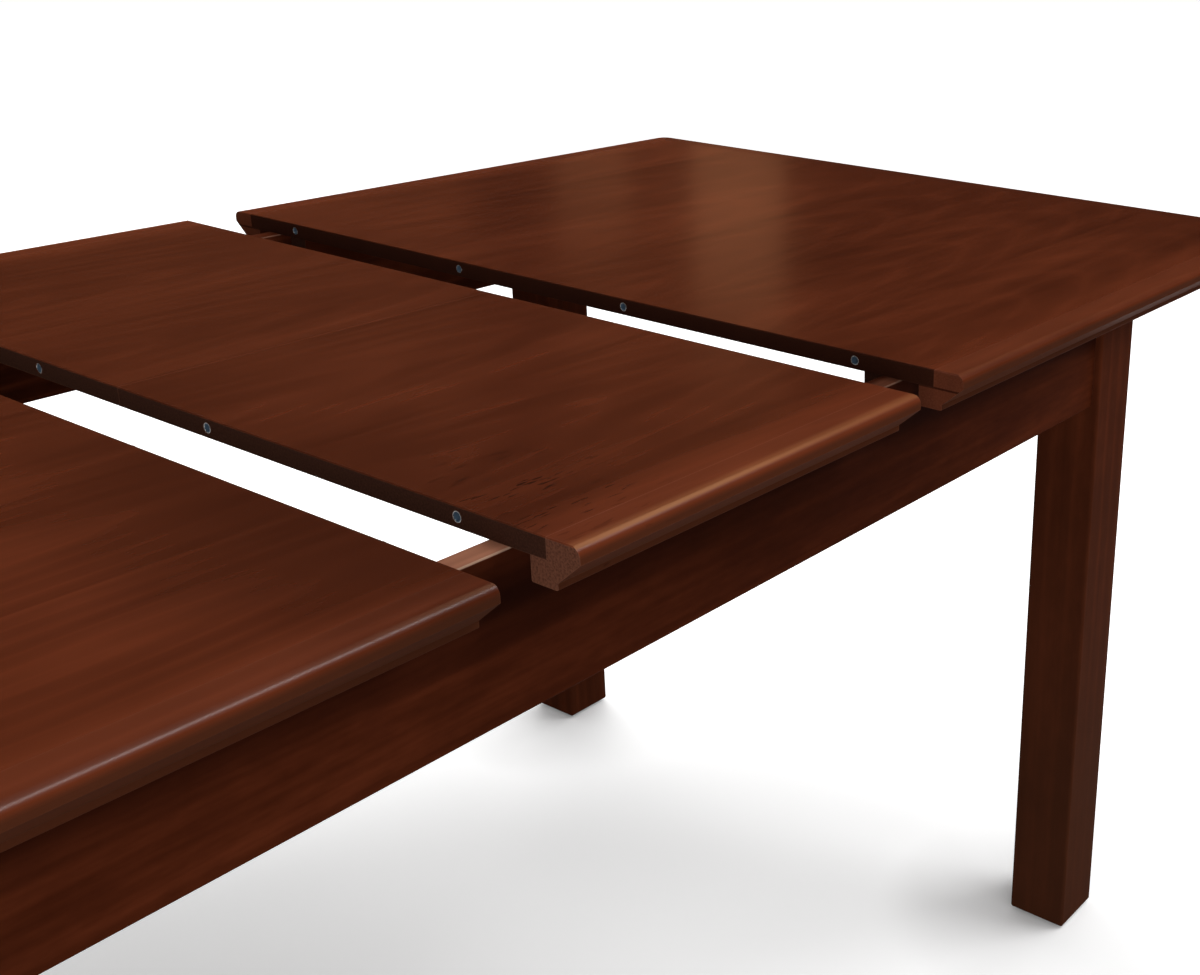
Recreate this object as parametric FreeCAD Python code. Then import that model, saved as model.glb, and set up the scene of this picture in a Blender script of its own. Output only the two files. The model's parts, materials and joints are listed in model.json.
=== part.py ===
import FreeCAD, Part
import math
import os

from FreeCAD import Vector

# Butterfly leaf table. Millimetres, +Z up, +X along the table, origin on the floor under its middle.
# It is drawn open: the two halves of the top are pulled apart and the leaf lies flat between them.

# Overall sizes
TABLE_HEIGHT = 760.0
TABLE_WIDTH = 956.0
TOP_HALF_LENGTH = 692.0
LEAF_LENGTH = 354.0
OPEN_GAP = 60.0

# Panels and the moulded strip that edges them
PANEL_THICKNESS = 15.0
PANEL_ARRIS = 0.8
EDGE_HEIGHT = 33.0
EDGE_WIDTH = 42.0
EDGE_FACE_WIDTH = 28.0
NOSE_RADIUS = 7.2
NOSE_FLAT = 4.0
UNDERCUT = 19.5
UNDERCUT_DROP = 16.8
EDGE_LIP_RADIUS = 1.5
CORNER_RADIUS = 19.0

# Legs
LEG_WIDTH = 68.0
LEG_ARRIS_RADIUS = 3.0
LEG_CHAMFER = 20.0
SIDE_OVERHANG = 52.0
CLOSED_END_OVERHANG = 46.0
GLIDE_RADIUS = 13.0
GLIDE_HEIGHT = 3.0
GLIDE_NAIL_RADIUS = 1.6
GLIDE_NAIL_LENGTH = 18.0

# Aprons and the dowels that locate them in the legs
APRON_THICKNESS = 20.0
APRON_DEPTH = 115.0
APRON_INSET = 7.0
APRON_ARRIS_RADIUS = 2.0
DOWEL_RADIUS = 4.0
DOWEL_LENGTH = 40.0
DOWEL_HEIGHT = 25.0
DOWEL_PITCH = 45.0

# Corner blocks and hanger bolts that pull each leg into its corner
BLOCK_THICKNESS = 28.0
BLOCK_HEIGHT = 60.0
BLOCK_LIFT = 8.0
BLOCK_STAND_OFF = 3.0
BOLT_RADIUS = 4.0
BOLT_GRIP = 28.0
BOLT_TAIL = 6.0
WASHER_RADIUS = 9.0
WASHER_THICKNESS = 2.0
NUT_WIDTH = 13.0
NUT_HEIGHT = 7.0

# Runners under the top halves, with a tongue in a groove of the long aprons
RUNNER_WIDTH = 25.0
RUNNER_HEIGHT = 40.0
RUNNER_SETBACK = 12.0
TONGUE_REACH = 7.0
TONGUE_HEIGHT = 9.2
TONGUE_DROP = 21.0
SCREW_RADIUS = 2.0
SCREW_HEAD_RADIUS = 4.0
SCREW_HEAD_HEIGHT = 2.6
SCREW_BITE = 10.0
SCREW_COUNTERBORE = 12.0
SCREW_COUNT = 4
SCREW_END_MARGIN = 30.0

# Bearers that carry the folded leaf when it is put away
BEARER_WIDTH = 40.0
BEARER_THICKNESS = 22.0
BEARER_INSET = 12.0
BEARER_LIFT = 2.0
BEARER_HOUSING = 6.0

# Alignment pins and their steel sockets in the meeting edges
PIN_RADIUS = 3.0
PIN_REACH = 7.5
PIN_ROOT = 20.0
PIN_END_ROOM = 4.0
PIN_INNER_PLACE = 111.0
PIN_EDGE_MARGIN = 106.0
SOCKET_RADIUS = 4.0
SOCKET_FLOOR = 1.5

# Fold of the leaf, with concealed barrel hinges in the seam
SEAM = 0.3
BARREL_RADIUS = 5.0
BARREL_LENGTH = 20.0
BARREL_SLOT_WIDTH = 3.2
BARREL_SLOT_DEPTH = 9.0
BARREL_PITCH = 120.0

# Clearances
GLUE_FIT = 0.1
SLIDE_CLEARANCE = 0.5
PIN_CLEARANCE = 0.3
BOLT_CLEARANCE = 0.5

# Levels and planes worked out from the sizes above
UNDERSIDE = TABLE_HEIGHT - PANEL_THICKNESS
APRON_BOTTOM = UNDERSIDE - APRON_DEPTH
HALF_WIDTH = TABLE_WIDTH / 2
LEAF_END = LEAF_LENGTH / 2
TOP_INNER = LEAF_END + OPEN_GAP
TOP_OUTER = TOP_INNER + TOP_HALF_LENGTH
LEG_OUTER_X = TOP_HALF_LENGTH - CLOSED_END_OVERHANG
LEG_INNER_X = LEG_OUTER_X - LEG_WIDTH
LEG_OUTER_Y = HALF_WIDTH - SIDE_OVERHANG
LEG_INNER_Y = LEG_OUTER_Y - LEG_WIDTH
APRON_OUTER_Y = LEG_OUTER_Y - APRON_INSET
APRON_INNER_Y = APRON_OUTER_Y - APRON_THICKNESS
APRON_OUTER_X = LEG_OUTER_X - APRON_INSET
APRON_INNER_X = APRON_OUTER_X - APRON_THICKNESS
RUNNER_OUTER_Y = APRON_INNER_Y - SLIDE_CLEARANCE
RUNNER_START = TOP_INNER + RUNNER_SETBACK
RUNNER_END = LEG_INNER_X - SLIDE_CLEARANCE
TONGUE_LEVEL = UNDERSIDE - TONGUE_DROP
PIN_LEVEL = TABLE_HEIGHT - PANEL_THICKNESS / 2
PIN_OUTER_PLACE = HALF_WIDTH - PIN_EDGE_MARGIN
PIN_PLACES = (-PIN_OUTER_PLACE, -PIN_INNER_PLACE, PIN_INNER_PLACE, PIN_OUTER_PLACE)
SOCKET_BORE = PIN_RADIUS + PIN_CLEARANCE
SOCKET_DEPTH = PIN_REACH + PIN_END_ROOM
BARREL_PLACES = (-BARREL_PITCH, 0.0, BARREL_PITCH)

X_AXIS = Vector(1, 0, 0)
Y_AXIS = Vector(0, 1, 0)
Z_AXIS = Vector(0, 0, 1)
CENTRE = Vector(0, 0, 0)


def block(low, high):
    """A rectangular solid between two opposite corners."""
    size = Vector(*high) - Vector(*low)
    return Part.makeBox(size.x, size.y, size.z, Vector(*low))


def rod(start, direction, radius, length):
    """A cylinder from a start point along a direction."""
    return Part.makeCylinder(radius, length, start, direction)


def prism(points, sweep):
    """A solid swept from a flat polygon."""
    outline = Part.makePolygon(points + points[:1])
    return Part.Face(outline).extrude(sweep)


def rounded(solid, radius, directions):
    """Rounds the straight edges of a solid that run along any of the given axes."""
    edges = []
    for edge in solid.Edges:
        along = edge.tangentAt(edge.FirstParameter)
        if any(abs(along.dot(axis)) > 0.999 for axis in directions):
            edges.append(edge)
    return solid.makeFillet(radius, edges)


def flipped(shape, axis):
    """The mirror image of a shape across the plane through the middle of the table."""
    return shape.mirror(CENTRE, axis)


def corners(shape):
    """One shape of the corner at +X, +Y set out at all four corners, by the corner's name."""
    right_front = flipped(shape, Y_AXIS)
    return {
        "front_left": flipped(right_front, X_AXIS),
        "front_right": right_front,
        "back_left": flipped(shape, X_AXIS),
        "back_right": shape,
    }


def without(solid, tools):
    """A solid with every tool cut out of it."""
    return solid.cut(list(tools)) if tools else solid


def save(name, solids):
    """Writes one sub-part, a single solid or a group of separate ones."""
    group = solids if isinstance(solids, list) else [solids]
    shape = group[0] if len(group) == 1 else Part.makeCompound(group)
    shape.exportStep("parts/" + name + ".step")


# Edge moulding
def edge_face(x):
    """Section of the edge strip at a place along X, with its nose towards -Y: a round nose, a short
    upright, a sloping undercut, a flat lip below, and a rebate in which the panel lies."""
    def at(inward, down):
        return Vector(x, -HALF_WIDTH + inward, TABLE_HEIGHT - down)

    nose_end = NOSE_RADIUS + NOSE_FLAT
    half_turn = NOSE_RADIUS * (1 - math.sqrt(0.5))
    nose = Part.Arc(at(NOSE_RADIUS, 0), at(half_turn, half_turn), at(0, NOSE_RADIUS)).toShape()
    points = [
        at(0, NOSE_RADIUS),
        at(0, nose_end),
        at(UNDERCUT, nose_end + UNDERCUT_DROP),
        at(UNDERCUT, EDGE_HEIGHT),
        at(EDGE_WIDTH, EDGE_HEIGHT),
        at(EDGE_WIDTH, PANEL_THICKNESS),
        at(EDGE_FACE_WIDTH, PANEL_THICKNESS),
        at(EDGE_FACE_WIDTH, 0),
        at(NOSE_RADIUS, 0),
    ]
    sides = [Part.makeLine(a, b) for a, b in zip(points, points[1:])]
    return Part.Face(Part.Wire(sides + [nose]))


def edge_bar(start, end):
    """A straight length of the edge strip along the front of the table, its lower lip rounded."""
    bar = edge_face(start).extrude(Vector(end - start, 0, 0))
    lip = TABLE_HEIGHT - EDGE_HEIGHT
    low = [e for e in bar.Edges if e.Length > EDGE_HEIGHT and e.BoundBox.ZMax < lip + 0.01]
    return bar.makeFillet(EDGE_LIP_RADIUS, low)


def corner_nose():
    """The strip's nose turned round the front corner of a top half, out to its mitre."""
    centre = Vector(TOP_OUTER - CORNER_RADIUS, -HALF_WIDTH + CORNER_RADIUS, 0)
    outer = block(
        (centre.x - 1, -HALF_WIDTH - 1, 0),
        (centre.x + 1, centre.y, TABLE_HEIGHT + 1),
    )
    return edge_face(centre.x).common(outer).revolve(centre, Z_AXIS, 90)


def corner_square():
    """The square in plan that the turned nose fills."""
    return block(
        (TOP_OUTER - CORNER_RADIUS, -HALF_WIDTH - 1, 0),
        (TOP_OUTER + 1, -HALF_WIDTH + CORNER_RADIUS, TABLE_HEIGHT + 1),
    )


def mitre_side(front):
    """Everything on the front strip's or the end strip's side of the front corner's mitre."""
    reach = TOP_OUTER + TABLE_WIDTH
    corner = Vector(TOP_OUTER + 1, -HALF_WIDTH - 1, 0)
    inside = corner + Vector(-reach, reach, 0)
    apex = corner + (Vector(-reach, 0, 0) if front else Vector(0, reach, 0))
    return prism([corner, inside, apex], Vector(0, 0, TABLE_HEIGHT + 1))


def front_strip():
    """Front edge strip of the right top half, mitred at the corner."""
    bar = edge_bar(TOP_INNER, TOP_OUTER).cut(corner_square())
    return bar.fuse(corner_nose()).common(mitre_side(True)).removeSplitter().Solids[0]


def end_strip():
    """End edge strip of the right top half, mitred at both corners."""
    bar = edge_bar(-HALF_WIDTH, HALF_WIDTH)
    bar.rotate(CENTRE, Z_AXIS, 90)
    bar.translate(Vector(TOP_OUTER - HALF_WIDTH, 0, 0))
    corner = corner_square()
    nose = corner_nose()
    side = mitre_side(False)
    bar = bar.cut([corner, flipped(corner, Y_AXIS)])
    bar = bar.fuse([nose, flipped(nose, Y_AXIS)])
    return bar.common(side).common(flipped(side, Y_AXIS)).removeSplitter().Solids[0]


# Small hardware
def pin(edge, y, outward):
    """An alignment pin with a round nose, standing out of a meeting edge at x = edge."""
    length = PIN_ROOT + PIN_REACH
    root = Vector(edge - outward * PIN_ROOT, y, PIN_LEVEL)
    bar = rod(root, X_AXIS * outward, PIN_RADIUS, length)
    tip = [e for e in bar.Edges if abs(e.BoundBox.XLength) < 0.01 and abs(e.BoundBox.XMin - root.x) > 1]
    return bar.makeFillet(PIN_RADIUS * 0.8, tip)


def pin_hole(edge, y, outward):
    """The hole that a pin is glued into."""
    depth = PIN_ROOT + GLUE_FIT
    start = Vector(edge - outward * depth, y, PIN_LEVEL)
    return rod(start, X_AXIS * outward, PIN_RADIUS + GLUE_FIT, depth + 1)


def socket(edge, y, outward):
    """A steel cup let in flush with a meeting edge."""
    length = SOCKET_DEPTH + SOCKET_FLOOR
    back = Vector(edge - outward * length, y, PIN_LEVEL)
    cup = rod(back, X_AXIS * outward, SOCKET_RADIUS, length)
    mouth = Vector(edge, y, PIN_LEVEL)
    return cup.cut(rod(mouth, X_AXIS * -outward, SOCKET_BORE, SOCKET_DEPTH))


def socket_hole(edge, y, outward):
    """The hole that a socket is pressed into."""
    depth = SOCKET_DEPTH + SOCKET_FLOOR + GLUE_FIT
    start = Vector(edge - outward * depth, y, PIN_LEVEL)
    return rod(start, X_AXIS * outward, SOCKET_RADIUS + GLUE_FIT, depth + 1)


def arris(edge, inward):
    """The sliver taken off the upper arris of a panel along a meeting edge at x = edge."""
    points = [
        Vector(edge, -HALF_WIDTH - 1, TABLE_HEIGHT - PANEL_ARRIS),
        Vector(edge, -HALF_WIDTH - 1, TABLE_HEIGHT + 1),
        Vector(edge + inward * PANEL_ARRIS, -HALF_WIDTH - 1, TABLE_HEIGHT + 1),
        Vector(edge + inward * PANEL_ARRIS, -HALF_WIDTH - 1, TABLE_HEIGHT),
    ]
    return prism(points, Vector(0, TABLE_WIDTH + 2, 0))


# Top halves
def runner():
    """The front runner of the right top half: a batten with a tongue towards the apron."""
    bar = block(
        (RUNNER_START, -RUNNER_OUTER_Y, UNDERSIDE - RUNNER_HEIGHT),
        (RUNNER_END, -RUNNER_OUTER_Y + RUNNER_WIDTH, UNDERSIDE),
    )
    tongue = block(
        (RUNNER_START, -RUNNER_OUTER_Y - TONGUE_REACH, TONGUE_LEVEL - TONGUE_HEIGHT / 2),
        (RUNNER_END, -RUNNER_OUTER_Y, TONGUE_LEVEL + TONGUE_HEIGHT / 2),
    )
    return bar.fuse(tongue).removeSplitter().Solids[0]


def screw_places():
    """Places of the runner screws, in plan, for the front runner of the right half."""
    first = RUNNER_START + SCREW_END_MARGIN
    step = (RUNNER_END - SCREW_END_MARGIN - first) / (SCREW_COUNT - 1)
    y = -RUNNER_OUTER_Y + RUNNER_WIDTH / 2
    return [Vector(first + step * i, y, UNDERSIDE - RUNNER_HEIGHT) for i in range(SCREW_COUNT)]


def turned_screw(place, slack):
    """A countersunk wood screw that points up out of its counterbore; slack turns it into its hole."""
    head = place.z + SCREW_COUNTERBORE
    tip = UNDERSIDE + SCREW_BITE + slack
    points = [
        Vector(place.x, place.y, head),
        Vector(place.x + SCREW_HEAD_RADIUS + slack, place.y, head),
        Vector(place.x + SCREW_RADIUS + slack, place.y, head + SCREW_HEAD_HEIGHT),
        Vector(place.x + SCREW_RADIUS + slack, place.y, tip - SCREW_RADIUS),
        Vector(place.x, place.y, tip),
    ]
    section = Part.Face(Part.makePolygon(points + points[:1]))
    return section.revolve(points[0], Z_AXIS, 360)


def screw_hole(place):
    """Counterbore and shank hole for one runner screw."""
    well = rod(place - Z_AXIS, Z_AXIS, SCREW_HEAD_RADIUS + GLUE_FIT, SCREW_COUNTERBORE + 1)
    return turned_screw(place, GLUE_FIT).fuse(well)


def top_panel(edge_holes):
    """Flat panel of the right top half, let into the edge strips on three sides."""
    panel = block(
        (TOP_INNER, -HALF_WIDTH + EDGE_FACE_WIDTH, UNDERSIDE),
        (TOP_OUTER - EDGE_FACE_WIDTH, HALF_WIDTH - EDGE_FACE_WIDTH, TABLE_HEIGHT),
    )
    return without(panel, edge_holes + [arris(TOP_INNER, 1)])


def save_top_half(side, mirror, hardware, make_fitting, make_hole, outward):
    """One half of the top: panel, three strips, two runners, screws and its edge fittings."""
    def placed(shape):
        return flipped(shape, X_AXIS) if mirror else shape

    places = screw_places()
    front_screws = [turned_screw(p, 0) for p in places]
    front_holes = [screw_hole(p) for p in places]
    screw_tools = front_holes + [flipped(h, Y_AXIS) for h in front_holes]
    fitting_holes = [make_hole(TOP_INNER, y, outward) for y in PIN_PLACES]
    strip = front_strip().cut(arris(TOP_INNER, 1))
    batten = without(runner(), front_holes)

    save(side + "_top_panel", placed(top_panel(fitting_holes + screw_tools)))
    save(side + "_top_edge_front", placed(strip))
    save(side + "_top_edge_back", placed(flipped(strip, Y_AXIS)))
    save(side + "_top_edge_end", placed(end_strip()))
    save(side + "_runner_front", placed(batten))
    save(side + "_runner_back", placed(flipped(batten, Y_AXIS)))
    screws = front_screws + [flipped(s, Y_AXIS) for s in front_screws]
    save(side + "_runner_screws", [placed(s) for s in screws])
    fittings = [make_fitting(TOP_INNER, y, outward) for y in PIN_PLACES]
    save(side + "_top_" + hardware, [placed(f) for f in fittings])


# Folding leaf
def hinge_barrel(x):
    """The front half's barrel of one concealed hinge, slotted for the links that fold into it."""
    start = Vector(x, -SEAM / 2 - BARREL_LENGTH, PIN_LEVEL)
    barrel = rod(start, Y_AXIS, BARREL_RADIUS, BARREL_LENGTH)
    slot = block(
        (x - BARREL_SLOT_WIDTH / 2, -SEAM / 2 - BARREL_SLOT_DEPTH, PIN_LEVEL - BARREL_RADIUS),
        (x + BARREL_SLOT_WIDTH / 2, SEAM, PIN_LEVEL + BARREL_RADIUS),
    )
    return barrel.cut(slot)


def barrel_hole(x):
    """The hole in the front half's meeting edge that a hinge barrel is pressed into."""
    depth = BARREL_LENGTH + GLUE_FIT
    start = Vector(x, -SEAM / 2 - depth, PIN_LEVEL)
    return rod(start, Y_AXIS, BARREL_RADIUS + GLUE_FIT, depth + 1)


def save_leaf_half(name, mirror):
    """One half of the leaf: panel, edge strip, pins, sockets and hinge barrels."""
    def placed(shape):
        return flipped(shape, Y_AXIS) if mirror else shape

    places = [-PIN_OUTER_PLACE, -PIN_INNER_PLACE]
    ends = [arris(-LEAF_END, 1), arris(LEAF_END, -1)]
    holes = [socket_hole(-LEAF_END, y, -1) for y in places]
    holes += [pin_hole(LEAF_END, y, 1) for y in places]
    holes += [barrel_hole(x) for x in BARREL_PLACES]
    panel = block(
        (-LEAF_END, -HALF_WIDTH + EDGE_FACE_WIDTH, UNDERSIDE),
        (LEAF_END, -SEAM / 2, TABLE_HEIGHT),
    )
    strip = without(edge_bar(-LEAF_END, LEAF_END), ends)

    save(name + "_panel", placed(without(panel, holes + ends)))
    save(name + "_edge", placed(strip))
    save(name + "_sockets", [placed(socket(-LEAF_END, y, -1)) for y in places])
    save(name + "_pins", [placed(pin(LEAF_END, y, 1)) for y in places])
    save(name + "_hinge_barrels", [placed(hinge_barrel(x)) for x in BARREL_PLACES])


# Frame
def dowel_places():
    """Starts and directions of the dowels at the back right leg, from the leg into each apron."""
    long_mid = (APRON_OUTER_Y + APRON_INNER_Y) / 2
    end_mid = (APRON_OUTER_X + APRON_INNER_X) / 2
    half = DOWEL_LENGTH / 2
    places = []
    for step in range(2):
        z = APRON_BOTTOM + DOWEL_HEIGHT + DOWEL_PITCH * step
        places.append((Vector(LEG_INNER_X + half, long_mid, z), X_AXIS * -1))
        places.append((Vector(end_mid, LEG_INNER_Y + half, z), Y_AXIS * -1))
    return places


def dowels(slack):
    """Dowels of the back right leg, or their holes where there is slack."""
    return [
        rod(start - way * slack, way, DOWEL_RADIUS + slack, DOWEL_LENGTH + 2 * slack)
        for start, way in dowel_places()
    ]


INWARD = Vector(-math.sqrt(0.5), -math.sqrt(0.5), 0)
LEG_AXIS = Vector(LEG_OUTER_X - LEG_WIDTH / 2, LEG_OUTER_Y - LEG_WIDTH / 2, 0)
BLOCK_BOTTOM = APRON_BOTTOM + BLOCK_LIFT
BOLT_LEVEL = BLOCK_BOTTOM + BLOCK_HEIGHT / 2
CHAMFER_REACH = (LEG_WIDTH - LEG_CHAMFER) * math.sqrt(0.5)
BLOCK_NEAR = CHAMFER_REACH + BLOCK_STAND_OFF
BLOCK_FAR = BLOCK_NEAR + BLOCK_THICKNESS


def on_bolt(distance):
    """A point on the back right hanger bolt's axis, by its distance from the leg's own axis."""
    return LEG_AXIS + Z_AXIS * BOLT_LEVEL + INWARD * distance


def bolt_hole(slack):
    """Clearance for the hanger bolt, through the leg and the corner block."""
    start = CHAMFER_REACH - BOLT_GRIP - slack
    return rod(on_bolt(start), INWARD, BOLT_RADIUS + slack, BLOCK_FAR - start + 1)


def leg():
    """The back right leg: square, with soft arrises and a flat across its inner corner up by the apron."""
    post = block(
        (LEG_INNER_X, LEG_INNER_Y, GLIDE_HEIGHT),
        (LEG_OUTER_X, LEG_OUTER_Y, UNDERSIDE),
    )
    uprights = [e for e in post.Edges if e.BoundBox.ZLength > LEG_WIDTH]
    foot = [e for e in post.Edges if e.BoundBox.ZMax < GLIDE_HEIGHT + 0.01]
    post = post.makeFillet(LEG_ARRIS_RADIUS, uprights + foot)
    corner = Vector(LEG_INNER_X - 1, LEG_INNER_Y - 1, APRON_BOTTOM)
    flat = prism(
        [corner, corner + X_AXIS * (LEG_CHAMFER + 2), corner + Y_AXIS * (LEG_CHAMFER + 2)],
        Vector(0, 0, APRON_DEPTH + 1),
    )
    nail = rod(
        LEG_AXIS + Z_AXIS * GLIDE_HEIGHT,
        Z_AXIS,
        GLIDE_NAIL_RADIUS + GLUE_FIT,
        GLIDE_NAIL_LENGTH + GLUE_FIT,
    )
    return post.cut([flat, nail, bolt_hole(GLUE_FIT)] + dowels(GLUE_FIT))


def glide():
    """A nail-on glide under the back right leg, with a rounded rim."""
    disc = rod(LEG_AXIS, Z_AXIS, GLIDE_RADIUS, GLIDE_HEIGHT)
    rim = [e for e in disc.Edges if e.BoundBox.ZMax < 0.01 and e.Length > GLIDE_RADIUS]
    disc = disc.makeFillet(GLIDE_HEIGHT / 2, rim)
    nail = rod(LEG_AXIS + Z_AXIS * (GLIDE_HEIGHT / 2), Z_AXIS, GLIDE_NAIL_RADIUS,
               GLIDE_NAIL_LENGTH + GLIDE_HEIGHT / 2)
    return disc.fuse(nail).removeSplitter().Solids[0]


def corner_block():
    """The wooden block across the back right corner, its ends flat on the two aprons."""
    def ends(distance):
        point = LEG_AXIS + INWARD * distance
        level = point.x + point.y
        return Vector(level - APRON_INNER_Y, APRON_INNER_Y, 0), Vector(APRON_INNER_X, level - APRON_INNER_X, 0)

    near_long, near_end = ends(BLOCK_NEAR)
    far_long, far_end = ends(BLOCK_FAR)
    plan = [p + Z_AXIS * BLOCK_BOTTOM for p in (near_long, near_end, far_end, far_long)]
    return prism(plan, Vector(0, 0, BLOCK_HEIGHT)).cut(bolt_hole(BOLT_CLEARANCE))


def bolt_set():
    """Hanger bolt, washer and nut of the back right corner."""
    start = CHAMFER_REACH - BOLT_GRIP
    end = BLOCK_FAR + WASHER_THICKNESS + NUT_HEIGHT + BOLT_TAIL
    bolt = rod(on_bolt(start), INWARD, BOLT_RADIUS, end - start)
    through = rod(on_bolt(BLOCK_FAR - 1), INWARD, BOLT_RADIUS + GLUE_FIT, end)
    washer = rod(on_bolt(BLOCK_FAR), INWARD, WASHER_RADIUS, WASHER_THICKNESS).cut(through)
    across = NUT_WIDTH / math.sqrt(3)
    seat = on_bolt(BLOCK_FAR + WASHER_THICKNESS)
    sideways = INWARD.cross(Z_AXIS)
    rim = []
    for i in range(6):
        turn = math.radians(60 * i)
        rim.append(seat + sideways * (across * math.cos(turn)) + Z_AXIS * (across * math.sin(turn)))
    nut = prism(rim, INWARD * NUT_HEIGHT).cut(through)
    return bolt, washer, nut


def long_apron():
    """The back apron: grooved inside for the runners' tongues and housed for the leaf bearers."""
    board = block(
        (-LEG_INNER_X, APRON_INNER_Y, APRON_BOTTOM),
        (LEG_INNER_X, APRON_OUTER_Y, UNDERSIDE),
    )
    board = rounded(board, APRON_ARRIS_RADIUS, [X_AXIS])
    half_groove = TONGUE_HEIGHT / 2 + SLIDE_CLEARANCE
    groove = block(
        (-LEG_INNER_X - 1, APRON_INNER_Y - 1, TONGUE_LEVEL - half_groove),
        (LEG_INNER_X + 1, APRON_INNER_Y + TONGUE_REACH + SLIDE_CLEARANCE, TONGUE_LEVEL + half_groove),
    )
    housing = bearer(GLUE_FIT)
    holes = dowels(GLUE_FIT)
    tools = [groove, housing, flipped(housing, X_AXIS)] + holes + [flipped(h, X_AXIS) for h in holes]
    return board.cut(tools)


def end_apron():
    """The right end apron, between the two right legs."""
    board = block(
        (APRON_INNER_X, -LEG_INNER_Y, APRON_BOTTOM),
        (APRON_OUTER_X, LEG_INNER_Y, UNDERSIDE),
    )
    board = rounded(board, APRON_ARRIS_RADIUS, [Y_AXIS])
    holes = dowels(GLUE_FIT)
    return board.cut(holes + [flipped(h, Y_AXIS) for h in holes])


def bearer(slack):
    """The right leaf bearer, a flat slat let into both long aprons, or its housing where there is slack."""
    outer = LEAF_END - BEARER_INSET
    bottom = APRON_BOTTOM + BEARER_LIFT
    reach = APRON_INNER_Y + BEARER_HOUSING
    return block(
        (outer - BEARER_WIDTH - slack, -reach - slack, bottom - slack),
        (outer + slack, reach + slack, bottom + BEARER_THICKNESS + slack),
    )


def save_frame():
    """Legs, aprons, corner blocks, bearers and their hardware."""
    for place, shape in corners(leg()).items():
        save("leg_" + place, shape)
    for place, shape in corners(corner_block()).items():
        save("corner_block_" + place, shape)
    back = long_apron()
    save("apron_back", back)
    save("apron_front", flipped(back, Y_AXIS))
    right = end_apron()
    save("apron_right_end", right)
    save("apron_left_end", flipped(right, X_AXIS))
    slat = bearer(0)
    save("leaf_bearer_right", slat)
    save("leaf_bearer_left", flipped(slat, X_AXIS))
    bolt, washer, nut = bolt_set()
    save("hanger_bolts", list(corners(bolt).values()))
    save("bolt_washers", list(corners(washer).values()))
    save("bolt_nuts", list(corners(nut).values()))
    save("foot_glides", list(corners(glide()).values()))
    save("apron_dowels", [d for dowel in dowels(0) for d in corners(dowel).values()])


os.makedirs("parts", exist_ok=True)
save_frame()
save_top_half("right", False, "sockets", socket, socket_hole, -1)
save_top_half("left", True, "pins", pin, pin_hole, -1)
save_leaf_half("leaf_front", False)
save_leaf_half("leaf_back", True)
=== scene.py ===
import json
import math

import bmesh
import bpy
from mathutils import Matrix, Vector

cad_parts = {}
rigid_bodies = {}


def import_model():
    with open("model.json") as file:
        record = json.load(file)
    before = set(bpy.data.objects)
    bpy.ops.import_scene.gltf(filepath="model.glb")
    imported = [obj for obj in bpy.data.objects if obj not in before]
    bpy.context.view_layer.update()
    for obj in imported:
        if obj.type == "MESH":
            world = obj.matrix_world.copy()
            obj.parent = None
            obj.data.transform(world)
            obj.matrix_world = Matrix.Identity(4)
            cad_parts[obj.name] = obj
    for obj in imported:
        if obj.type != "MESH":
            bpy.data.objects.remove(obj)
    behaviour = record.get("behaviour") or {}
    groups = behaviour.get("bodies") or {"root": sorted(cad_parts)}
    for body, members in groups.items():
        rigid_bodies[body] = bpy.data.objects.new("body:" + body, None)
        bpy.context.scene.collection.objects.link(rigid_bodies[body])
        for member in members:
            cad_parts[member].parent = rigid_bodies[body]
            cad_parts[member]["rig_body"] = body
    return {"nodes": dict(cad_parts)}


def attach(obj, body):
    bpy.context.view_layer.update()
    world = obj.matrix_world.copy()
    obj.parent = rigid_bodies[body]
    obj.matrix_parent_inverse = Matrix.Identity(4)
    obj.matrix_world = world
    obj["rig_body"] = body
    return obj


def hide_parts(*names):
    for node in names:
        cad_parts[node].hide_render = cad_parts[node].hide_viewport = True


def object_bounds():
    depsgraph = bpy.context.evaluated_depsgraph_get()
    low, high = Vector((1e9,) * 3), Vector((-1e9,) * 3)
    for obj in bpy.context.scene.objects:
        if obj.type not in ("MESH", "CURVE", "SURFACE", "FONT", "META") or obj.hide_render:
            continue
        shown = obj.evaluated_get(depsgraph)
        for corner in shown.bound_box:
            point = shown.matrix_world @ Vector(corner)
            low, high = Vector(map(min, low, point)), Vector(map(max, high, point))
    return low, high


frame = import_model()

cad_low, cad_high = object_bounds()
nodes = frame["nodes"]

# Camera, fitted to the table's edges, for an image of 1200 by 975 pixels
IMAGE_WIDTH = 1200.0
FOCAL_PIXELS = 1555.2
CENTRE_RIGHT_PIXELS = 304.2
CENTRE_DOWN_PIXELS = -49.0
CAMERA_PLACE = Vector((-0.7525, -1.0905, 1.1334))
CAMERA_HEADING = 56.0
CAMERA_PITCH = -20.14
CAMERA_ROLL = 1.42
SENSOR_WIDTH = 36.0
SIGHT_LIMIT = 200.0

# Stain, from its thinnest to its deepest, as linear colours
STAIN_PALE = (0.148, 0.0315, 0.0115)
STAIN_MIDDLE = (0.083, 0.0170, 0.0061)
STAIN_DEEP = (0.046, 0.0090, 0.0034)
# Nearly black: for flecks and joint lines, and for painted shade
NEAR_BLACK_STAIN_AND_SHADE = (0.016, 0.0040, 0.0022)

# Stain where it is worn or browned and on cut ends, and colours that paint light, highlights and shade
# Worn edges, and painted light on the aprons' top faces
STAIN_WORN_AND_PAINTED_LIGHT = (0.400, 0.1720, 0.1030)
# A painted highlight on the aprons' turned upper edges
PAINTED_EDGE_HIGHLIGHT = (0.480, 0.3000, 0.2100)
# A painted golden highlight where the nose turns
PAINTED_NOSE_GOLD = (0.420, 0.1700, 0.0620)
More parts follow.
